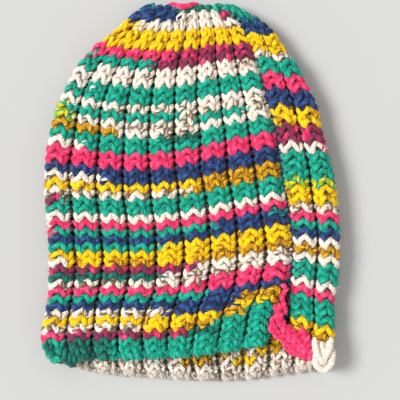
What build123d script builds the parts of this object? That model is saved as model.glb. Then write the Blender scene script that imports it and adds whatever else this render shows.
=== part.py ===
"""Ribbed knitted beanie, laid flat on its back layer, in millimetres.

+Z is up through the two layers of fabric, +Y runs from the brim to the crown and +X is to the right.
The origin is on the surface under the middle of the hat.
"""

import os

from build123d import *

# Overall size of the hat laid flat.
hat_width = 199.0
hat_length = 249.0

# The fabric.
layer_thickness = 7.25
head_gap = 6.0  # between the front and the back layer
yarn_diameter = 3.8
yarn_clearance = 0.3

# The brim and the folded sides.
brim_step = 14.5  # how far the back layer shows below the front one
side_fold_radius = 9.0

# The side seam, which lies on the front, right of the middle.
seam_brim_x = 64.5
seam_middle_x = 61.5
seam_crown_x = 30.0
seam_open_length = 62.0  # left unsewn at the brim end
seam_groove_depth = 4.6

# The crown, gathered by a drawn loop of yarn.
crown_x = -7.0
draw_loop_radius = 6.0

half_width = hat_width / 2
half_length = hat_length / 2
stack_height = 2 * layer_thickness + head_gap
yarn_radius = yarn_diameter / 2
outside = 2 * hat_width  # reaches past the hat on every side

# Heights of the seam's three points up the hat, as shares of its half length.
SEAM_CROWN = 0.86
SEAM_MIDDLE = 0.0

# The outline, as shares of the half width and of the half length, from the left end of the brim.
SIDES_AND_CROWN = [
    (-0.93, -0.905),
    (-1.0, -0.76),
    (-0.955, -0.38),
    (-1.0, 0.09),
    (-0.92, 0.41),
    (-0.8, 0.61),
    (-0.6, 0.77),
    (-0.47, 0.87),
    (-0.29, 0.96),
    (-0.07, 1.0),
    (0.16, 0.985),
    (0.41, 0.91),
    (0.59, 0.78),
    (0.74, 0.64),
    (0.84, 0.46),
    (0.97, 0.035),
    (1.0, -0.36),
    (0.955, -0.62),
    (0.955, -0.81),
    (0.89, -0.945),
]
BACK_BRIM = [(0.89, -0.945), (0.52, -0.98), (-0.07, -1.0), (-0.4, -0.98), (-0.77, -0.925), (-0.93, -0.905)]

# The front layer's brim: share of the half width, then how many brim steps above the hat's lowest point.
FRONT_BRIM = [(-1.1, 1.3), (-0.77, 0.92), (-0.27, 1.0), (0.16, 1.14), (0.36, 1.4), (0.52, 1.9), (0.8, 0.9), (1.1, 0.3)]


def placed(shares, width, top, bottom):
    """Points of an outline, its crown at top and its brim at bottom."""
    middle = (top + bottom) / 2
    half = (top - bottom) / 2
    return [(x * width, middle + y * half) for x, y in shares]


def seam_line(start):
    """Draw the seam, from start above the lowest point of the brim to the crown."""
    middle_y = SEAM_MIDDLE * half_length
    lean = (seam_middle_x - seam_brim_x) / (middle_y + half_length)
    brim = (seam_brim_x + lean * start, -half_length + start)
    middle = (seam_middle_x, middle_y)
    crown = (seam_crown_x, SEAM_CROWN * half_length)
    straight = Line(brim, middle)
    TangentArc(middle, crown, tangent=straight % 1)


# Shapes that more than one piece is cut from.

with BuildSketch(Plane.XY) as hat_outline:
    with BuildLine():
        Spline(*placed(SIDES_AND_CROWN, half_width, half_length, -half_length))
        Spline(*placed(BACK_BRIM, half_width, half_length, -half_length))
    make_face()

with BuildSketch(Plane.XY.offset(layer_thickness)) as gap_outline:
    with BuildLine():
        inner_width = half_width - layer_thickness
        inner_crown = half_length - 2 * layer_thickness
        Spline(*placed(SIDES_AND_CROWN, inner_width, inner_crown, -half_length - 2 * brim_step))
        Spline(*placed(BACK_BRIM, inner_width, inner_crown, -half_length - 2 * brim_step))
    make_face()

with BuildSketch(Plane.XY.offset(layer_thickness)) as beyond_front_brim:
    with BuildLine():
        edge = [(x * half_width, -half_length + steps * brim_step) for x, steps in FRONT_BRIM]
        Spline(*edge)
        Polyline(edge[-1], (outside, edge[-1][1]), (outside, -outside), (-outside, -outside), edge[0])
    make_face()

with BuildSketch(Plane.XY) as seam_strip:
    with BuildLine():
        seam_line(start=0)
    trace(line_width=yarn_diameter + 2 * yarn_clearance)


# The knitted panel: front and back layer, joined by the folded sides and the crown, open at the brim.

with BuildPart() as knitted_panel:
    add(hat_outline.sketch)
    extrude(amount=stack_height)
    side_edges = knitted_panel.edges().filter_by(GeomType.BSPLINE).group_by(SortBy.LENGTH)[-1]
    fillet(side_edges, radius=side_fold_radius)

    add(gap_outline.sketch)
    extrude(amount=head_gap, mode=Mode.SUBTRACT)

    add(beyond_front_brim.sketch)
    extrude(amount=stack_height, mode=Mode.SUBTRACT)

    # The groove that the seam pulls into the front layer.
    with Locations((0, 0, stack_height - seam_groove_depth)):
        add(seam_strip.sketch)
    extrude(amount=stack_height, mode=Mode.SUBTRACT)

    # The dimple that the drawn loop closes at the crown.
    with Locations(Location((crown_x, half_length, stack_height / 2), (90, 0, 0))):
        Cylinder(
            radius=draw_loop_radius + yarn_radius + yarn_clearance,
            height=2 * (yarn_diameter + yarn_clearance),
            mode=Mode.SUBTRACT,
        )

knitted_panel.part.label = "knitted_panel"


# The seam yarn, at the bottom of its groove from the crown to where the brim end is left open.

with BuildPart() as seam_yarn:
    with BuildLine(Plane.XY.offset(stack_height - seam_groove_depth + yarn_radius)) as sewn_line:
        seam_line(start=seam_open_length)
    with BuildSketch(Plane(origin=sewn_line.line @ 0, z_dir=sewn_line.line % 0)):
        Circle(yarn_radius)
    sweep()

seam_yarn.part.label = "seam_yarn"


# The loop of yarn that gathers the crown's stitches.

with BuildPart() as crown_draw_yarn:
    with Locations(Location((crown_x, half_length - yarn_radius, stack_height / 2), (90, 0, 0))):
        Torus(draw_loop_radius, yarn_radius)

crown_draw_yarn.part.label = "crown_draw_yarn"


os.makedirs("parts", exist_ok=True)
for piece in (knitted_panel, seam_yarn, crown_draw_yarn):
    export_step(piece.part, f"parts/{piece.part.label}.step")
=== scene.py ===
"""The looks of a ribbed knitted beanie laid flat: every stitch is a loop of plied yarn.

Lengths are millimetres until a mesh is made. A place on the fabric is (q, r): q counts ribs from the side
seam, leftwards round the hat to the seam again, and r counts rows from the cast-on edge to the crown.
"""

import math

import bpy
import numpy as np
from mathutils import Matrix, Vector


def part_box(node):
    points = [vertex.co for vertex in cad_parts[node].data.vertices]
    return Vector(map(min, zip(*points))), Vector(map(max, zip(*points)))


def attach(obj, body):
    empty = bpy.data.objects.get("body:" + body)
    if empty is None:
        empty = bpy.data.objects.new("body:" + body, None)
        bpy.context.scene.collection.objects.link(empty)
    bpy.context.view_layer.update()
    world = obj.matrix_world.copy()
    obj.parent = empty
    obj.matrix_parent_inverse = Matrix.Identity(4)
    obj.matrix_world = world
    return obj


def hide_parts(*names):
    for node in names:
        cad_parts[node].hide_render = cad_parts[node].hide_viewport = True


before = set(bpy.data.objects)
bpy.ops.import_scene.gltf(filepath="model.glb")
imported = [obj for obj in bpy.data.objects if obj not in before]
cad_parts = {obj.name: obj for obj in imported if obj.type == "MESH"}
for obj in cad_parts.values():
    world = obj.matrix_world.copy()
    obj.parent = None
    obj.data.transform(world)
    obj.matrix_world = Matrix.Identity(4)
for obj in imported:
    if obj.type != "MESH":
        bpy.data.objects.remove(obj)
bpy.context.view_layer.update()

MM = 0.001

# The CAD model's sizes, which the fabric is worked out from.
panel_low, panel_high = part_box("knitted_panel")
half_width = (panel_high[0] - panel_low[0]) / MM / 2
half_length = (panel_high[1] - panel_low[1]) / MM / 2
stack_height = (panel_high[2] - panel_low[2]) / MM

# The fabric.
RIBS = 22
LEFT_FOLD = 9.0  # rib counts at the two folded sides
RIGHT_FOLD = 20.0
BACK_RIBS = range(10, 19)  # on the back and away from the folds: the photo's view shows only their brim
FRONT_RIBS = [rib for rib in range(RIBS) if rib not in BACK_RIBS]
ROWS = 45
FRONT_DETAIL = 80, 16  # rings along a column pair's row, and sides round its yarn
BACK_DETAIL = 44, 8
PURL_DETAIL = 36, 8
yarn_radius = 1.8
ply_count = 4
twist_length = 6.6  # one turn of the plies
centre_height = stack_height / 2
layer_offset = 5.9  # from the middle of the stack to the middle of a layer
pair_reach = 0.37  # half the width of a column pair, as a share of the rib's pitch
pair_arch = math.radians(72)  # how far a column pair's face turns from its crest to its edge
knit_edge, knit_bulge = 0.5, 3.0  # a knit pair's edge over the layer's middle, and its crest over that
purl_edge, purl_bulge = 1.7, 1.5  # the same for a purl pair, which faces into the hat
purl_depth = 0.45  # how deep a purl loop is beside a knit loop, which keeps the front's valleys dark
rib_pitch = 17.0  # by which a loop's depth is turned into ribs
full_rib_width = 16.5  # yarn gets thinner where a rib is narrower than this
valley_height = -0.6  # where a row's yarn passes from one column pair to the next
fabric_margin = 5.0  # from the outline in to the middle of the fabric at a fold
seam_dip, seam_dip_width = 4.0, 0.22  # how deep the edges fall in at the seam, and over how many ribs
row_wander, rib_wander = 0.6, 0.5  # how far rows and columns stray from a straight run
crease_reach = 0.84  # how far the crease between two plies is from the strand's middle, in radii
ply_bulge = 1.06  # the same for the crest of a ply
thinnest, thickening = 0.84, 0.22  # a loop's radius where it lies deep, in yarn radii, and its gain outside
unevenness = 0.04  # spread of the yarn's radius from stitch to stitch
crease_shade = 0.78  # painted shade: colour left at the crease between two plies
side_shade = 0.68  # painted shade on the side of a strand that faces away from its up direction, into the fabric or down
deep_shade = 0.4  # painted shade: colour left in the yarn that lies deep in the fabric, where fibres would shade it
floor_gap = 0.05  # no yarn goes lower than this
cell_margin = 0.04, 0.02  # free share at each side of a strand's cell in the baked texture
UP = [0.0, 0.0, 1.0]


# Smooth functions: curves through chosen points, and noise.


def hermite(t, span, start, start_slope, end, end_slope):
    """The cubic between two values with given slopes, at the share t of the span."""
    return (
        (2 * t**3 - 3 * t**2 + 1) * start
        + (t**3 - 2 * t**2 + t) * span * start_slope
        + (3 * t**2 - 2 * t**3) * end
        + (t**3 - t**2) * span * end_slope
    )


def smooth(at, points):
    """A smooth curve through (x, y) points, straight beyond the ends."""
    xs = np.array([p[0] for p in points], float)
    ys = np.array([p[1] for p in points], float)
    slope = np.gradient(ys, xs)
    i = np.clip(np.searchsorted(xs, at) - 1, 0, len(xs) - 2)
    span = xs[i + 1] - xs[i]
    t = np.clip((at - xs[i]) / span, 0, 1)
    inner = hermite(t, span, ys[i], slope[i], ys[i + 1], slope[i + 1])
    before = np.minimum(at - xs[0], 0) * slope[0]
    after = np.maximum(at - xs[-1], 0) * slope[-1]
    return inner + before + after


def ripple(a, b, seed):
    """Smooth repeatable noise over two coordinates, mostly from -1 to 1."""
    rng = np.random.default_rng(seed)
    waves = 5
    usual_peak = 2.6
    total = 0
    for _ in range(waves):
        u, v = rng.uniform(0.5, 1.3, 2) * rng.choice([-1, 1], 2)
        total = total + np.sin(u * a * 2 + v * b * 2 + rng.uniform(0, 2 * math.pi))
    return total / usual_peak


# The outline and the seam, x against y, as shares of the half width and the half length.
LEFT_SIDE = [
    (-1.0, -0.88), (-0.905, -0.94), (-0.79, -1.0), (-0.66, -0.985), (-0.42, -0.95), (-0.2, -0.965),
    (0.09, -0.985), (0.3, -0.945), (0.41, -0.92), (0.51, -0.87), (0.61, -0.8), (0.71, -0.7), (0.81, -0.55),
    (0.87, -0.47), (0.96, -0.3), (1.0, -0.14),
]
RIGHT_SIDE = [
    (-1.0, 0.93), (-0.9, 0.955), (-0.68, 0.965), (-0.58, 0.96), (-0.47, 0.985), (-0.36, 1.0), (-0.07, 0.985),
    (0.14, 0.945), (0.35, 0.875), (0.46, 0.84), (0.54, 0.79), (0.64, 0.73), (0.71, 0.655), (0.78, 0.59),
    (0.86, 0.51), (0.91, 0.42), (0.96, 0.29), (1.0, 0.14),
]
SEAM = [
    (-0.9, 0.67), (-0.5, 0.645), (-0.31, 0.66), (-0.07, 0.635), (0.22, 0.57), (0.38, 0.535), (0.64, 0.445),
    (0.86, 0.33), (0.94, 0.25),
]
# How far the panel's left part stands back from the seam's middle, and its right part, by y share.
LEFT_OF_SEAM = [
    (-0.9, 17.0), (-0.82, 16.0), (-0.74, 13.5), (-0.64, 10.5), (-0.57, 6.0), (-0.52, 2.2), (-0.46, 1.0),
    (0.0, 0.8), (1.0, 0.5),
]
RIGHT_OF_SEAM = [
    (-0.9, -3.0), (-0.84, -4.0), (-0.79, -7.0), (-0.75, -6.0), (-0.72, -2.0), (-0.69, 0.8), (-0.64, 1.4),
    (-0.5, 1.3), (0.0, 0.8), (1.0, 0.5),
]


def side_x(y, points):
    return smooth(y / half_length, points) * half_width


# Heights of rows round the hat, by rib count, as shares of the half length.
ROW_HEIGHTS = {
    0: [
        (0.0, -0.755), (2.0, -0.802), (3.8, -0.822), (5.5, -0.832), (7.2, -0.836), (LEFT_FOLD, -0.85),
        (10.7, -0.916), (12.5, -0.942), (16.5, -0.946), (18.7, -0.912), (RIGHT_FOLD, -0.888), (RIBS, -0.79),
    ],
    20: [
        (0.0, 0.06), (2.0, 0.01), (3.8, -0.044), (5.5, -0.065), (7.2, -0.055), (LEFT_FOLD, -0.049),
        (14.5, -0.068), (RIGHT_FOLD, 0.032), (RIBS, 0.051),
    ],
    36: [
        (0.0, 0.68), (2.0, 0.656), (3.8, 0.619), (5.5, 0.614), (7.2, 0.635), (LEFT_FOLD, 0.671),
        (14.5, 0.614), (RIGHT_FOLD, 0.72), (RIBS, 0.767),
    ],
    43: [
        (0.0, 0.96), (3.8, 0.968), (7.2, 0.964), (LEFT_FOLD, 0.936), (14.5, 0.96), (RIGHT_FOLD, 0.944),
        (RIBS, 0.96),
    ],
}


def row_height(q, r):
    """y of a row, which bows across the hat."""
    rows = list(ROW_HEIGHTS)
    at_rows = [smooth(q, ROW_HEIGHTS[row]) for row in rows]
    slopes = np.gradient(np.stack(at_rows), np.array(rows, float), axis=0)
    run_on = 0.1  # how far the first and the last span carry on, as a share of each
    share = 0
    for i in range(len(rows) - 1):
        span = rows[i + 1] - rows[i]
        t = (r - rows[i]) / span
        first, last = i == 0, i == len(rows) - 2
        inside = (first | (t >= 0)) & (last | (t < 1))
        t = np.clip(t, -run_on, 1 + run_on)
        curve = hermite(t, span, at_rows[i], slopes[i], at_rows[i + 1], slopes[i + 1])
        share = share + np.where(inside, curve, 0)
    y = share * half_length + row_wander * ripple(q * 0.5, r * 0.12, 3)
    return top_of_crown(y)


def top_of_crown(y):
    """Ease y towards the crown's end, which nothing passes."""
    start = 0.925 * half_length
    reach = 0.036 * half_length
    over = np.maximum(y - start, 0)
    return np.minimum(y, start) + reach * np.tanh(over / reach)


def layer_bend(y):
    """The radius of the folds at y, which is half the way between the layers and closes at the crown."""
    closing_start, closing_span = 0.84, 0.165
    closing = np.clip((y / half_length - closing_start) / closing_span, 0, 0.99)
    return layer_offset * np.sqrt(1 - closing**2)


def front_layer(q, left, seam_left, bend):
    """x and z from the seam leftwards over the front, and round the left fold to its middle."""
    flat = seam_left - left
    run = (flat + bend * math.pi / 2) * np.clip(q, None, LEFT_FOLD) / LEFT_FOLD
    turn = np.clip(run - flat, 0, None) / bend
    x = np.where(run < flat, seam_left - run, left - bend * np.sin(turn))
    return x, bend * np.cos(turn)


def back_layer(q, left, right, bend):
    """x and z from the middle of the left fold over the back to the middle of the right fold."""
    quarter = bend * math.pi / 2
    flat = right - left
    share = (np.clip(q, LEFT_FOLD, RIGHT_FOLD) - LEFT_FOLD) / (RIGHT_FOLD - LEFT_FOLD)
    run = (flat + 2 * quarter) * share
    left_turn = math.pi / 2 + np.clip(run, 0, quarter) / bend
    right_turn = np.clip(run - quarter - flat, 0, None) / bend
    x = np.where(run > quarter, left + (run - quarter), left - bend * np.sin(left_turn))
    x = np.where(run > quarter + flat, right + bend * np.sin(right_turn), x)
    return x, np.where(run > quarter + flat, -bend * np.cos(right_turn), bend * np.cos(left_turn))


def front_strip(q, right, seam_right, bend):
    """x and z from the middle of the right fold over the front's right strip to the seam."""
    quarter = bend * math.pi / 2
    flat = right - seam_right
    run = (flat + quarter) * (np.clip(q, RIGHT_FOLD, None) - RIGHT_FOLD) / (RIBS - RIGHT_FOLD)
    turn = math.pi / 2 + np.clip(run, 0, quarter) / bend
    x = np.where(run > quarter, right - (run - quarter), right + bend * np.sin(turn))
    return x, -bend * np.cos(turn)


def ground(q, r):
    """The middle of the fabric at (q, r)."""
    y = row_height(q, r)
    share = y / half_length
    bend = layer_bend(y)
    left = side_x(y, LEFT_SIDE) + (bend + fabric_margin)
    right = side_x(y, RIGHT_SIDE) - (bend + fabric_margin)
    # The limits keep the seam inside the two folds where the crown is narrow.
    seam = np.clip(side_x(y, SEAM), left + 3, right - 1)
    seam_left = np.maximum(seam - smooth(share, LEFT_OF_SEAM), left + 1)
    seam_right = np.minimum(seam + smooth(share, RIGHT_OF_SEAM), right - 0.5)

    front_x, front_z = front_layer(q, left, seam_left, bend)
    back_x, back_z = back_layer(q, left, right, bend)
    strip_x, strip_z = front_strip(q, right, seam_right, bend)
    x = np.where(q < LEFT_FOLD, front_x, np.where(q < RIGHT_FOLD, back_x, strip_x))
    z = np.where(q < LEFT_FOLD, front_z, np.where(q < RIGHT_FOLD, back_z, strip_z))
    from_seam = np.minimum(q, RIBS - q)
    z = z - np.where(z > 0, seam_dip * np.exp(-((from_seam / seam_dip_width) ** 2)), 0)
    x = x + rib_wander * ripple(q * 1.1, r * 0.3, 5)
    return np.stack([x, y, centre_height + z], axis=-1)


def on_fabric(q, r, lift):
    """The point lift above the fabric at (q, r), the fabric's normal and how wide one rib is there."""
    step = 0.02
    across = (ground(q + step, r) - ground(q - step, r)) / (2 * step)
    up = (ground(q, r + step) - ground(q, r - step)) / (2 * step)
    normal = np.cross(up, across)
    normal /= np.linalg.norm(normal, axis=-1, keepdims=True) + 1e-9
    return ground(q, r) + normal * lift[..., None], normal, np.linalg.norm(across, axis=-1)


# One stitch's loop: across in column widths, up in rows, and out in millimetres.
LEG = [
    (-0.50, -0.68, -2.2),
    (-0.30, -0.76, -2.1),
    (-0.06, -0.60, -1.0),
    (-0.12, -0.20, 0.5),
    (-0.30, 0.18, 0.6),
    (-0.46, 0.50, -0.4),
    (-0.37, 0.80, -1.8),
    (0.0, 0.92, -2.3),
]
LOOP = np.array(LEG + [(-x, y, z) for x, y, z in LEG[-2::-1]])


def spline_weights(knots, samples):
    """Catmull-Rom weights that turn control points into evenly spread samples."""
    t = np.linspace(0, knots - 1, samples)
    i = np.minimum(t.astype(int), knots - 2)
    f = t - i
    basis = np.stack([
        -f + 2 * f**2 - f**3,
        2 - 5 * f**2 + 3 * f**3,
        f + 4 * f**2 - 3 * f**3,
        -(f**2) + f**3,
    ]) / 2
    weights = np.zeros((samples, knots))
    for k in range(4):
        np.add.at(weights, (np.arange(samples), np.clip(i + k - 1, 0, knots - 1)), basis[k])
    return weights


def pair_controls(centre, rows, edge, bulge, depth, outward, rng, columns=(-1, 1)):
    """Control points (q, r, lift, depth) of the loops of a column pair, one pair for each row."""
    n = len(rows)
    wobble_size = [0.03, 0.045, 0.2]
    loops = []
    for side in columns:
        wobble = rng.normal(0, 1, (n, len(LOOP), 3)) * wobble_size
        wobble[:, [0, -1]] = 0
        grown = LOOP * [1, 1, depth] + wobble
        angle = (side * 0.5 + grown[..., 0]) * pair_arch
        across = pair_reach * np.sin(angle) / math.sin(pair_arch) + np.sin(angle) * grown[..., 2] / rib_pitch
        height = (np.cos(angle) - math.cos(pair_arch)) / (1 - math.cos(pair_arch))
        lift = edge + bulge * height + np.cos(angle) * grown[..., 2]
        r = rows[:, None] + grown[..., 1]
        loops.append(np.stack([centre + across, r, outward * lift, LOOP[:, 2] + 0 * r], axis=-1))
    controls = np.concatenate([loops[0]] + [loop[:, 1:] for loop in loops[1:]], axis=1)
    if columns[0] == -1:
        controls[:, 0, 0] = centre - 0.5
        controls[:, 0, 2] = valley_height
    if columns[-1] == 1:
        controls[:, -1, 0] = centre + 0.5
        controls[:, -1, 2] = valley_height
    return controls


# Colours, as sRGB, and the four plies of each kind of yarn.
COLOURS = {
    "teal": (0, 164, 136),
    "pale_teal": (34, 182, 154),
    "sea": (0, 134, 112),
    "deep_teal": (18, 108, 92),
    "pine": (26, 72, 68),
    "white": (247, 237, 225),
    "cream": (237, 223, 207),
    "sand": (206, 188, 164),
    "taupe": (146, 124, 104),
    "brown": (126, 104, 86),
    "umber": (104, 84, 68),
    "pink": (244, 54, 108),
    "hot_pink": (255, 84, 132),
    "crimson": (222, 40, 92),
    "navy": (34, 62, 114),
    "blue": (50, 88, 146),
    "ink": (28, 38, 74),
    "yellow": (255, 210, 0),
    "gold": (240, 184, 0),
    "mustard": (196, 142, 10),
    "ochre": (140, 96, 18),
    "maroon": (138, 40, 74),
    "berry": (176, 44, 88),
    "plum": (104, 54, 84),
    "lime": (150, 180, 40),
}
YARNS = {
    "T": ("teal", "pale_teal", "teal", "sea"),
    "D": ("deep_teal", "sea", "deep_teal", "pine"),
    "W": ("cream", "cream", "white", "cream"),
    "V": ("cream", "cream", "white", "cream"),
    "G": ("sand", "taupe", "cream", "brown"),
    "R": ("taupe", "brown", "sand", "umber"),
    "P": ("pink", "hot_pink", "pink", "crimson"),
    "N": ("navy", "blue", "navy", "ink"),
    "B": ("navy", "teal", "blue", "deep_teal"),
    "Y": ("yellow", "gold", "yellow", "yellow"),
    "O": ("mustard", "ochre", "gold", "mustard"),
    "M": ("maroon", "berry", "maroon", "plum"),
    "L": ("lime", "teal", "yellow", "lime"),
    "K": ("ink", "navy", "umber", "ink"),
}
# Stripes from the cast-on edge to the crown, at places round the hat.
BACK = "YWNTPPWTTGYONPWTTWYNNPMTWGTTWPNYMWTTPYWNTT"
STRIP = "YTTTPWTTWOWNTPGYYLTTTWMMYYNNPPTTGYYYNNBTTT"
STRIPES = {
    0.5: "TTTTTOONPPWGOYYNBPWTTOONNPPTTWGGWTTWGMMYYWMTT",
    1.5: "TTTTOYNNPPGWOYYNNPWTTOONNPPTTWTGWTTWWMMYYWWDT",
    2.6: "TTDOYNNNPPGWOYYNNPWTTOONNPPTTWTGWTTWWMMYYWWDT",
    3.8: "TTMYYNNTPVGMYYYNTPWTTVYNNPPTDGGTGTTWWMMYYWWDB",
    5.5: "TTMVYGNTPVDMOYTNTPWTTVYNNPPTTWGTGTTWWTPYYWNBT",
    7.2: "DDMGYGNTPVDMYYTNTPWTTVYWNPPTTOWTWTTWWTPYYWNNB",
    8.8: "TTPVYGNTPVDMWYTNTPWTMVYWNPPWTOLLWTWWTPPYYYNNT",
    9.6: "DTG" + BACK,
    10.4: "WWG" + BACK,
    11.3: "WGG" + BACK,
    12.5: "WWG" + BACK,
    13.5: "WGM" + BACK,
    14.7: "WOG" + BACK,
    15.7: "GGO" + BACK,
    16.6: "WYG" + BACK,
    17.3: "WWY" + BACK,
    18.0: "WWO" + BACK,
    19.0: "WOW" + BACK,
    20.3: "WWO" + STRIP,
    21.5: "PPO" + STRIP,
}
KINDS = list(YARNS)


def linear(rgb):
    c = np.array(rgb) / 255
    return np.where(c < 0.04045, c / 12.92, ((c + 0.055) / 1.055) ** 2.4)


PLY_COLOURS = np.array([[linear(COLOURS[name]) for name in YARNS[kind]] for kind in KINDS])
STRIPE_PLACES = np.array(list(STRIPES))
STRIPE_KINDS = np.array([[KINDS.index(letter) for letter in rows] for rows in STRIPES.values()])
# One kind of yarn breaks into another where the noise is over a level: plain, mixed, level.
MIXES = (
    ("W", "G", 1.0),
    ("V", "R", 0.15),
    ("G", "W", 0.1),
    ("Y", "O", 0.75),
    ("P", "M", 1.6),
    ("M", "P", 0.6),
    ("T", "D", 1.5),
)
# How far the places where the stripes change are moved round the hat, in ribs.
BRIM_ROWS = 3  # here the stripes change where the corners do
ROW_SHIFTS = np.random.default_rng(7).uniform(-0.55, 0.55, ROWS)
ROW_SHIFTS[:BRIM_ROWS] = 0
PLY_SHIFTS = np.random.default_rng(8).uniform(-0.3, 0.3, (ROWS, ply_count))
PLY_SHIFTS[:BRIM_ROWS] = 0


def yarn_colours(q, row):
    """Colours of the four plies at places in a row, where one stripe runs into the next ply by ply."""
    row = np.clip(row, 0, ROWS - 1)
    moved = q[..., None] + ROW_SHIFTS[row][..., None] + PLY_SHIFTS[row]
    track = np.abs(moved[..., None] - STRIPE_PLACES).argmin(axis=-1)
    stripe = STRIPE_KINDS[track, row[..., None]]
    fleck = ripple(q * 7.5, row * 2.9, 17)[..., None]
    kind = stripe
    for plain, mixed, level in MIXES:
        kind = np.where((stripe == KINDS.index(plain)) & (fleck > level), KINDS.index(mixed), kind)
    return PLY_COLOURS[kind, np.arange(ply_count)]


# Meshes.


def tubes(points, normals, radii, phases, sides):
    """Plied yarn along lines of points: vertices (lines x rings x sides x 3), length run, and painted shade.
    """
    along = np.gradient(points, axis=1)
    length = np.linalg.norm(along, axis=-1, keepdims=True)
    along = along / (length + 1e-9)
    up = normals - (normals * along).sum(-1, keepdims=True) * along
    up /= np.linalg.norm(up, axis=-1, keepdims=True) + 1e-9
    beside = np.cross(along, up)
    run = np.cumsum(length[..., 0], axis=1)
    turn = (run / twist_length + phases) * 2 * math.pi
    angle = turn[..., None] + np.arange(sides) * 2 * math.pi / sides
    roundness = np.abs(np.sin(np.arange(sides) * ply_count / sides * math.pi))
    reach = radii[..., None] * (crease_reach + (ply_bulge - crease_reach) * roundness)
    ring = np.cos(angle)[..., None] * up[:, :, None] + np.sin(angle)[..., None] * beside[:, :, None]
    # Painted shade: the side of a strand that faces away from its up direction is darker.
    facing_out = np.clip(0.45 + 0.7 * np.cos(angle), 0, 1)
    shade = side_shade + (1 - side_shade) * facing_out
    # Painted shade at the creases between plies.
    shade = shade * (crease_shade + (1 - crease_shade) * roundness)
    return points[:, :, None] + ring * reach[..., None], run, shade


def tube_faces(index):
    """Four-cornered faces over tubes, from their vertices' numbers (lines x rings x sides)."""
    after = np.roll(index, -1, axis=2)
    return np.stack([index[:, :-1], after[:, :-1], after[:, 1:], index[:, 1:]], axis=-1).reshape(-1, 4)


def bake_uv(lines, rings, sides, lanes, decks):
    """UVs of the faces' corners, where every line has a cell of its own in lanes by decks cells."""
    width, height = 1 - 2 * cell_margin[0], 1 - 2 * cell_margin[1]
    du, dv = width / sides, height / (rings - 1)
    u = (lines % lanes)[:, None, None] + cell_margin[0] + du * np.arange(sides)
    v = (lines // lanes)[:, None, None] + cell_margin[1] + dv * np.arange(rings - 1)[:, None]
    u, v = np.broadcast_arrays(u, v)
    corner_u = np.stack([u, u + du, u + du, u], axis=-1) / lanes
    corner_v = np.stack([v, v, v + dv, v + dv], axis=-1) / decks
    return np.stack([corner_u, corner_v], axis=-1).reshape(-1, 2)


def strand_uv(lines, run, sides):
    """UVs for the fibres: once round the strand, and its length in centimetres."""
    line_shift = 0.37  # so that no two lines have the same fibres
    around = np.arange(sides) / sides
    corner_u = np.stack([around, around + 1 / sides, around + 1 / sides, around], axis=-1)
    ends = np.stack([run[:, :-1], run[:, :-1], run[:, 1:], run[:, 1:]], axis=-1)[:, :, None]
    corner_v = ends / 10 + lines[:, None, None, None] * line_shift
    return np.stack(np.broadcast_arrays(corner_u, corner_v), axis=-1).reshape(-1, 2)


def quad_mesh(name, points, faces):
    """A mesh of four-cornered faces from points in millimetres."""
    mesh = bpy.data.meshes.new(name)
    mesh.vertices.add(len(points))
    mesh.vertices.foreach_set("co", (points * MM).ravel())
    mesh.loops.add(faces.size)
    mesh.loops.foreach_set("vertex_index", faces.ravel().astype(np.int32))
    mesh.polygons.add(len(faces))
    mesh.polygons.foreach_set("loop_start", np.arange(0, faces.size, 4, dtype=np.int32))
    return mesh


def make_piece(name, groups):
    """One object from tube groups: each is (vertices, colours, run), with its own ring and side counts."""
    total = sum(len(vertices) for vertices, _, _ in groups)
    lanes = math.ceil(math.sqrt(total * 3))
    decks = math.ceil(total / lanes)
    points, colours, faces, bake, strand = [], [], [], [], []
    first_vertex, first_line = 0, 0
    for vertices, colour, run in groups:
        n, rings, sides, _ = vertices.shape
        lines = first_line + np.arange(n)
        index = first_vertex + np.arange(n * rings * sides).reshape(n, rings, sides)
        points.append(vertices.reshape(-1, 3))
        colours.append(colour.reshape(-1, 3))
        faces.append(tube_faces(index))
        bake.append(bake_uv(lines, rings, sides, lanes, decks))
        strand.append(strand_uv(lines, run, sides))
        first_vertex += index.size
        first_line += n
    points, colours, faces = (np.concatenate(values) for values in (points, colours, faces))
    points[:, 2] = np.maximum(points[:, 2], floor_gap)

    mesh = quad_mesh(name, points, faces)
    for layer, values in (("OFBake", bake), ("Strand", strand)):
        uv = mesh.uv_layers.new(name=layer)
        uv.data.foreach_set("uv", np.concatenate(values).ravel())
    # The colours are the plies' own, with painted shade multiplied in on most pieces.
    paint = mesh.color_attributes.new("yarn", "FLOAT_COLOR", "POINT")
    paint.data.foreach_set("color", np.concatenate([colours, np.ones((len(colours), 1))], axis=1).ravel())
    mesh.update(calc_edges=True)
    mesh.polygons.foreach_set("use_smooth", np.ones(len(faces), bool))
    piece = bpy.data.objects.new(name, mesh)
    bpy.context.scene.collection.objects.link(piece)
    return piece


def ply_paint(q, row, sides):
    """A colour for each vertex round a tube whose rings lie at q in a row."""
    plies = yarn_colours(q, row)
    which = np.arange(sides) // (sides // ply_count) % ply_count
    return plies[..., which, :]


def knit_tubes(controls, outward, detail, rng):
    """The tube group of a column pair, a line for each row."""
    rings, sides = detail
    spline = np.einsum("mk,nkc->nmc", spline_weights(controls.shape[1], rings), controls)
    q, r, lift, depth = (spline[..., k] for k in range(4))
    at_seam = 0.02
    q = np.clip(q, at_seam, RIBS - at_seam)
    points, normals, rib_width = on_fabric(q, r, lift)
    squeeze = np.clip(rib_width / full_rib_width, 0.1, 1.0) ** 0.4
    plumpness = thinnest + thickening * np.clip((depth + 2) / 2.4, 0, 1)
    radii = yarn_radius * squeeze * plumpness * (1 + rng.normal(0, unevenness, (len(q), 1)))
    phases = rng.uniform(0, 1, (len(q), 1))
    vertices, run, side_shades = tubes(points, normals * outward, radii, phases, sides)
    row = np.arange(len(q))[:, None] + np.zeros(q.shape, int)
    # Painted shade: yarn that lies deep in the fabric is darker, down to deep_shade.
    in_light = np.clip((depth + 1.7) / 1.6, 0, 1) ** 1.5
    shade = deep_shade + (1 - deep_shade) * in_light
    # The plies' colours, with the painted shade multiplied in.
    return vertices, ply_paint(q, row, sides) * (shade[..., None] * side_shades)[..., None], run


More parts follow.
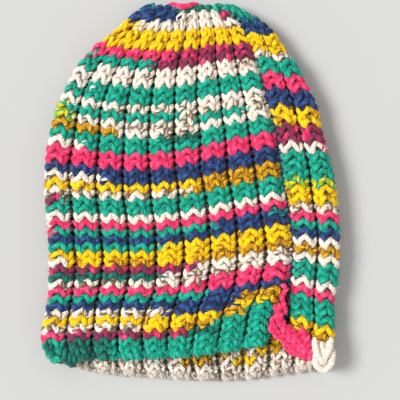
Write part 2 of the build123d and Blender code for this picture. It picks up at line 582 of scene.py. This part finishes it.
def knit_rib(number, detail):
    """The two knit columns of one rib, which stand out of the hat."""
    rng = np.random.default_rng(100 + number)
    controls = pair_controls(number + 0.5, np.arange(ROWS), knit_edge, knit_bulge, 1, 1, rng)
    return knit_tubes(controls, 1, detail, rng)


def purl_rib(number):
    """The two purl columns between ribs, which stand into the hat, and only one of them at the seam."""
    rng = np.random.default_rng(300 + number)
    columns = {0: (1,), RIBS: (-1,)}.get(number, (-1, 1))
    on_back = LEFT_FOLD < number < RIGHT_FOLD  # seen from inside at the brim, so as full as a knit rib
    shape = (knit_edge, knit_bulge, 1) if on_back else (purl_edge, purl_bulge, purl_depth)
    controls = pair_controls(number, np.arange(ROWS), *shape, -1, rng, columns)
    return knit_tubes(controls, -1, PURL_DETAIL, rng)


def long_tube(path, normals, radius, paint, cuts):
    """One long strand as a tube group, cut into lengths only so that its texture fits."""
    sides = 12
    vertices, run, shade = tubes(path[None], normals[None], radius[None], np.zeros((1, 1)), sides)
    count = (len(path) - 1) // cuts
    parts = [slice(i * count, (i + 1) * count + 1) for i in range(cuts)]
    which = np.arange(sides) // (sides // ply_count) % ply_count
    # The plies' colours, with the painted shade of creases and inner sides multiplied in.
    colours = paint[:, which] * shade[0, ..., None]
    return (
        np.stack([vertices[0, part] for part in parts]),
        np.stack([colours[part] for part in parts]),
        np.stack([run[0, part] for part in parts]),
    )


def through(points, samples):
    """An evenly sampled smooth path through a few points."""
    points = np.array(points, float)
    fine = spline_weights(len(points), 40 * len(points)) @ points
    run = np.r_[0, np.cumsum(np.linalg.norm(np.diff(fine, axis=0), axis=1))]
    at = np.linspace(0, run[-1], samples)
    return np.stack([np.interp(at, run, fine[:, k]) for k in range(3)], axis=1)


def plain_paint(kind, samples):
    """The plies' colours of one kind of yarn all along a strand."""
    return np.broadcast_to(PLY_COLOURS[KINDS.index(kind)], (samples, ply_count, 3))


def rope(points, normals, offset, radius, turns, paint, cuts):
    """Two strands twisted round each other along a path."""
    along = np.gradient(points, axis=0)
    beside = np.cross(along, normals)
    beside /= np.linalg.norm(beside, axis=1, keepdims=True)
    groups = []
    for start in (0, math.pi):
        angle = start + np.linspace(0, 2 * math.pi * turns, len(points))
        path = points + offset[:, None] * (np.cos(angle)[:, None] * normals + np.sin(angle)[:, None] * beside)
        groups.append(long_tube(path, normals, radius, paint, cuts=cuts))
    return groups


def cast_on_edge():
    """The cast-on, a rope along the brim that bulges out at each rib and dips between its columns."""
    from_seam, offset, radius, samples = 0.14, 1.45, 2.1, 2001
    q = np.linspace(from_seam, RIBS - from_seam, samples)
    plateau = np.cos(2 * math.pi * (q - 0.5))  # 1 in a rib's middle and -1 in the valley beside it
    lobes = np.cos(4 * math.pi * (q - 0.5))  # -1 at each of the rib's two columns
    points, normals, _ = on_fabric(q, -0.68 + 0.14 * lobes - 0.08 * plateau, 0.2 + 1.8 * plateau)
    paint = yarn_colours(q, np.zeros(len(q), int))
    return rope(points, normals, np.full(len(q), offset), np.full(len(q), radius), 2 * RIBS, paint, cuts=20)


def crown_edge():
    """The last stitches, drawn together in lumps at the end of each rib."""
    from_seam, offset, radius, samples = 0.2, 1.2, 1.5, 1601
    q = np.linspace(from_seam, RIBS - from_seam, samples)
    plateau = np.cos(2 * math.pi * (q - 0.5))
    points, normals, _ = on_fabric(q, 42.9 + 0.5 * plateau, 1.6 + 1.3 * plateau)
    paint = yarn_colours(q, np.full(len(q), ROWS - 2))
    return rope(points, normals, np.full(len(q), offset), np.full(len(q), radius), 3 * RIBS, paint, cuts=16)


def seam_stitches():
    """The side seam's yarn, which ladders from edge to edge at the bottom of its groove."""
    step, reach, sunk, radius, samples = 2.7, 1.6, 2.0, 1.15, 1201
    low, high = (np.array(corner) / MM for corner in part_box("seam_yarn"))
    ys = np.arange(low[1], high[1], step)
    side = np.where(np.arange(len(ys)) % 2 == 0, -reach, reach)
    depth = (low[2] + high[2]) / 2 - sunk
    path = through(np.stack([side_x(ys, SEAM) + side, ys, depth + 0 * ys], axis=1), samples)
    up = np.broadcast_to(UP, path.shape)
    return [long_tube(path, up, np.full(samples, radius), plain_paint("K", samples), cuts=12)]


def crown_loop():
    """The yarn drawn through the last stitches, pulled round in a loop."""
    turns, yarn, samples = 1.06, 1.9, 241
    low, high = (np.array(corner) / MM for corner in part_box("crown_draw_yarn"))
    middle = (low + high) / 2 + [0, -0.9, 1.6]
    radius = (high[0] - low[0]) / 2
    turn = np.linspace(0, 2 * math.pi * turns, samples)
    wave = 0.5 * np.sin(5 * turn)
    across = (1.12 * radius + wave) * np.cos(turn) + 2.0
    along = 0.9 * np.sin(3 * turn) - 0.2
    up = (1.08 * radius + wave) * np.sin(turn)
    path = middle + np.stack([across, along, up], axis=1)
    return [long_tube(path, path - middle, np.full(samples, yarn), plain_paint("P", samples), cuts=4)]


def tapered(samples, radius):
    """A strand's radius along its length, closing to a point at both ends."""
    steepness, tip = 30, 0.08
    t = np.linspace(0, 1, samples)
    return radius * np.minimum(1, np.minimum(t, 1 - t) * steepness + tip)


def on_top(shares):
    """Points over the hat: x and y as shares of the half sizes, and a height over the flat fabric."""
    return [(x * half_width, y * half_length, stack_height + lift) for x, y, lift in shares]


def loose_strand(shares, radius, kind):
    """One strand over the hat, tapered at both ends."""
    samples = 181
    path = through(on_top(shares), samples)
    up = np.broadcast_to(UP, path.shape)
    return long_tube(path, up, tapered(samples, radius), plain_paint(kind, samples), cuts=3)


def loose_rope(shares, radius, turns, kind):
    """Two strands twisted together over the hat, tapered at both ends."""
    samples, closeness = 241, 0.86
    path = through(on_top(shares), samples)
    up = np.broadcast_to(UP, path.shape)
    ends = tapered(samples, 1.0)
    paint = plain_paint(kind, samples)
    return rope(path, up, closeness * radius * ends, radius * ends, turns, paint, cuts=3)


def seam_tail():
    """Pink yarn that finishes the side seam with a knot and runs down to the flap."""
    route = [
        (0.592, -0.50, -2.5), (0.6, -0.492, 0.2), (0.618, -0.508, 0.9), (0.606, -0.53, 1.0),
        (0.593, -0.545, 0.7), (0.598, -0.575, 0.8), (0.612, -0.612, 0.6), (0.614, -0.65, -2.5),
    ]
    return loose_rope(route, 0.95, 5.0, "P")


def brim_flap():
    """The pink corner of the open seam, turned out over the brim in four bunched ropes."""
    upper = [
        (0.556, -0.590, -1.5), (0.566, -0.615, 0.3), (0.576, -0.664, 0.9), (0.602, -0.708, 1.4),
        (0.648, -0.754, 1.4), (0.710, -0.808, 0.8), (0.786, -0.880, -0.8),
    ]
    lower = [
        (0.560, -0.660, -1.2), (0.538, -0.688, 0.2), (0.534, -0.718, 0.5), (0.562, -0.746, 0.3),
        (0.618, -0.776, 0.1), (0.684, -0.816, -0.6), (0.752, -0.872, -2.0),
    ]
    inner = [
        (0.618, -0.712, -1.0), (0.648, -0.732, 0.6), (0.680, -0.754, 0.9), (0.714, -0.786, 0.9),
        (0.752, -0.836, 0.2),
    ]
    edge = [
        (0.700, -0.736, -0.8), (0.728, -0.742, 0.8), (0.748, -0.772, 0.9), (0.760, -0.820, 0.2),
        (0.782, -0.874, -1.4),
    ]
    groups = []
    for route, turns in ((upper, 4.2), (lower, -3.6), (inner, -2.6), (edge, 2.4)):
        groups += loose_rope(route, 1.8, turns, "P")
    return groups


def right_corner():
    """Cream yarn bunched in plump lobes at the brim's right corner."""
    bottom = [
        (0.800, -0.830, -2.5), (0.802, -0.868, -0.6), (0.824, -0.912, -0.8), (0.862, -0.934, -1.0),
        (0.900, -0.916, -1.0), (0.922, -0.872, -1.2), (0.920, -0.825, -3.5),
    ]
    left = [
        (0.808, -0.772, -2.2), (0.808, -0.806, 0.6), (0.822, -0.848, 1.2), (0.852, -0.882, 0.8),
        (0.884, -0.9, -1.5),
    ]
    right = [
        (0.912, -0.772, -2.8), (0.904, -0.810, 0.4), (0.884, -0.850, 1.0), (0.856, -0.880, 0.2),
        (0.83, -0.896, -2),
    ]
    middle = [(0.848, -0.790, -3.0), (0.856, -0.830, -0.4), (0.864, -0.870, -0.4), (0.862, -0.910, -2.4)]
    return [loose_strand(route, 2.7, "W") for route in (bottom, left, right, middle)]


def left_corner():
    """The cast-on end, rolled up at the brim's left corner."""
    samples, turns, roll_radius, radius = 641, 6.5, 5.0, 1.8
    t = np.linspace(0, 1, samples)
    turn = t * 2 * math.pi * turns
    reach = roll_radius + 0.8 * np.sin(1.7 * turn)
    x = (-0.945 + 0.19 * t) * half_width
    y = (-0.815 - 0.065 * t) * half_length
    axis = np.stack([x, y, 0 * y + stack_height - 5.4], axis=1)
    path = axis + np.stack([0 * t, reach * np.cos(turn), reach * np.sin(turn)], axis=1)
    return [long_tube(path, path - axis, tapered(samples, radius), plain_paint("D", samples), cuts=6)]


def flyaway_fibres():
    """Fine fibres that stand off the yarn all over the hat."""
    rng = np.random.default_rng(900)
    count = 14000
    thickness = [0.08, 0.07, 0.03]  # radii at the root, the middle and the tip
    sunk = 0.3  # how deep a root is in the yarn
    q = rng.uniform(0.1, RIBS - 0.1, count)
    r = rng.uniform(-1.0, ROWS - 2.0, count)
    from_middle = np.minimum(np.abs(q % 1 - 0.5) / pair_reach, 1)
    crest = knit_edge + knit_bulge * (1 - from_middle**2) + yarn_radius - sunk
    root, normal, _ = on_fabric(q, r, crest)
    lean = rng.normal(0, 1, (count, 3))
    reach = rng.uniform(0.7, 1.9, (count, 1))
    middle = root + reach * (0.5 * normal + 0.35 * lean)
    tip = middle + reach * (0.25 * normal + 0.6 * lean)
    path = np.stack([root, middle, tip], axis=1)
    radii = np.broadcast_to(thickness, (count, 3))
    up = np.broadcast_to(np.cross(normal, lean)[:, None], path.shape)
    vertices, run, _ = tubes(path, up, radii, np.zeros((count, 1)), 3)
    row = np.clip(np.round(r), 0, ROWS - 1).astype(int)
    colour = yarn_colours(q, row)[:, 0]
    return [(vertices, np.broadcast_to(colour[:, None, None], vertices.shape), run)]


# Materials.


def strand_noise(nodes, links, scale, detail):
    """Noise along the strands, whose scale is how many lumps go once round one and into a centimetre."""
    strand = nodes.new("ShaderNodeUVMap")
    strand.uv_map = "Strand"
    stretch = nodes.new("ShaderNodeMapping")
    stretch.inputs["Scale"].default_value = (*scale, 1)
    noise = nodes.new("ShaderNodeTexNoise")
    noise.inputs["Scale"].default_value = 1.0
    noise.inputs["Detail"].default_value = detail
    links.new(strand.outputs["UV"], stretch.inputs["Vector"])
    links.new(stretch.outputs["Vector"], noise.inputs["Vector"])
    return noise.outputs["Fac"]


def yarn_material():
    """Wool: the plies' colours with their painted shade, lighter and darker by fibre, with a little bump and
    sheen.
    """
    material = bpy.data.materials.new("striped_yarn")
    material.use_nodes = True
    nodes, links = material.node_tree.nodes, material.node_tree.links
    shader = nodes["Principled BSDF"]
    shader.inputs["Roughness"].default_value = 0.85
    shader.inputs["Sheen Weight"].default_value = 0.2
    shader.inputs["Sheen Roughness"].default_value = 0.45
    shader.inputs["Specular IOR Level"].default_value = 0.25

    paint = nodes.new("ShaderNodeAttribute")
    paint.attribute_name = "yarn"
    both = nodes.new("ShaderNodeMath")
    both.operation = "ADD"
    links.new(strand_noise(nodes, links, (26, 5), 3), both.inputs[0])  # fibres
    links.new(strand_noise(nodes, links, (7, 9), 2), both.inputs[1])  # clumps of them
    shade = nodes.new("ShaderNodeMapRange")
    shade.inputs["From Min"].default_value = 0.75
    shade.inputs["From Max"].default_value = 1.25
    shade.inputs["To Min"].default_value = 0.7
    shade.inputs["To Max"].default_value = 1.38
    tint = nodes.new("ShaderNodeMix")
    tint.data_type = "RGBA"
    tint.blend_type = "MULTIPLY"
    tint.inputs["Factor"].default_value = 1.0
    bump = nodes.new("ShaderNodeBump")
    bump.inputs["Strength"].default_value = 0.5
    bump.inputs["Distance"].default_value = 0.0004

    links.new(both.outputs["Value"], shade.inputs["Value"])
    links.new(paint.outputs["Color"], tint.inputs["A"])
    links.new(shade.outputs["Result"], tint.inputs["B"])
    links.new(tint.outputs["Result"], shader.inputs["Base Color"])
    links.new(both.outputs["Value"], bump.inputs["Height"])
    links.new(bump.outputs["Normal"], shader.inputs["Normal"])
    return material


def paper_material():
    """Pale matt paper."""
    material = bpy.data.materials.new("pale_paper")
    material.use_nodes = True
    shader = material.node_tree.nodes["Principled BSDF"]
    shader.inputs["Base Color"].default_value = (0.5, 0.5, 0.49, 1)
    shader.inputs["Roughness"].default_value = 1.0
    shader.inputs["Specular IOR Level"].default_value = 0.0
    return material


def add_piece(name, groups, material, slot, *nodes):
    """A piece that rides on the hat and stands for some of its CAD nodes."""
    piece = make_piece(name, groups)
    piece.data.materials.append(material)
    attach(piece, "root")
    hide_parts(*nodes)
    return piece


# The studio.


def floor():
    """The floor, just under the hat."""
    side, gap = 60, 0.0003
    bpy.ops.mesh.primitive_plane_add(size=side)
    ground_plane = bpy.context.object
    ground_plane.name = "floor"
    ground_plane.location.z = -gap
    ground_plane.data.materials.append(paper_material())


def lights():
    """A large soft lamp high on the left, and even light from all round."""
    lamp_place = (-0.8, 0.15, 1.0)
    softness = math.radians(22)
    key = bpy.data.lights.new("key", "SUN")
    key.angle = softness
    key.energy = 3.1
    lamp = bpy.data.objects.new("key", key)
    lamp.location = lamp_place
    lamp.rotation_euler = (Vector((0, 0, 0)) - lamp.location).to_track_quat("-Z", "Y").to_euler()
    bpy.context.scene.collection.objects.link(lamp)

    world = bpy.data.worlds.new("studio")
    world.use_nodes = True
    background = world.node_tree.nodes["Background"]
    background.inputs["Color"].default_value = (1, 1, 1, 1)
    background.inputs["Strength"].default_value = 0.74
    bpy.context.scene.world = world


def camera():
    """The photo's view, from straight above, in which the hat is left of and over the middle."""
    frame_width, frame_level = 0.264, 0.012  # the picture's width, and the height at which it is that wide
    beside_hat, below_hat = 0.0059, 0.0056
    view = bpy.data.cameras.new("camera")
    view.lens = 100
    view.sensor_width = 36
    eye = bpy.data.objects.new("camera", view)
    eye.location = (beside_hat, -below_hat, frame_level + frame_width * view.lens / view.sensor_width)
    bpy.context.scene.collection.objects.link(eye)
    bpy.context.scene.camera = eye


yarn = yarn_material()
for rib in FRONT_RIBS:
    add_piece(f"knit_rib_{rib + 1:02d}", [knit_rib(rib, FRONT_DETAIL)], yarn, "striped_yarn", "knitted_panel")
for first in BACK_RIBS[::3]:
    group = [knit_rib(rib, BACK_DETAIL) for rib in range(first, first + 3)]
    add_piece(f"knit_ribs_{first + 1}_to_{first + 3}", group, yarn, "striped_yarn", "knitted_panel")
for first in range(0, RIBS + 1, 4):
    group = [purl_rib(number) for number in range(first, min(first + 4, RIBS + 1))]
    add_piece(f"purl_ribs_{first // 4 + 1}", group, yarn, "striped_yarn", "knitted_panel")

add_piece("cast_on_edge", cast_on_edge(), yarn, "striped_yarn", "knitted_panel")
add_piece("crown_edge", crown_edge(), yarn, "striped_yarn", "knitted_panel")
add_piece("seam_stitches", seam_stitches(), yarn, "dark_yarn", "seam_yarn")
add_piece("crown_loop", crown_loop(), yarn, "pink_yarn", "crown_draw_yarn")
add_piece("seam_tail", seam_tail(), yarn, "pink_yarn", "knitted_panel")
add_piece("brim_flap", brim_flap(), yarn, "pink_yarn", "knitted_panel")
add_piece("left_corner_roll", left_corner(), yarn, "striped_yarn", "knitted_panel")
add_piece("right_corner_roll", right_corner(), yarn, "striped_yarn", "knitted_panel")
add_piece("flyaway_fibres", flyaway_fibres(), yarn, "striped_yarn", "knitted_panel")

floor()
lights()
camera()
bpy.context.scene.view_settings.view_transform = "Standard"
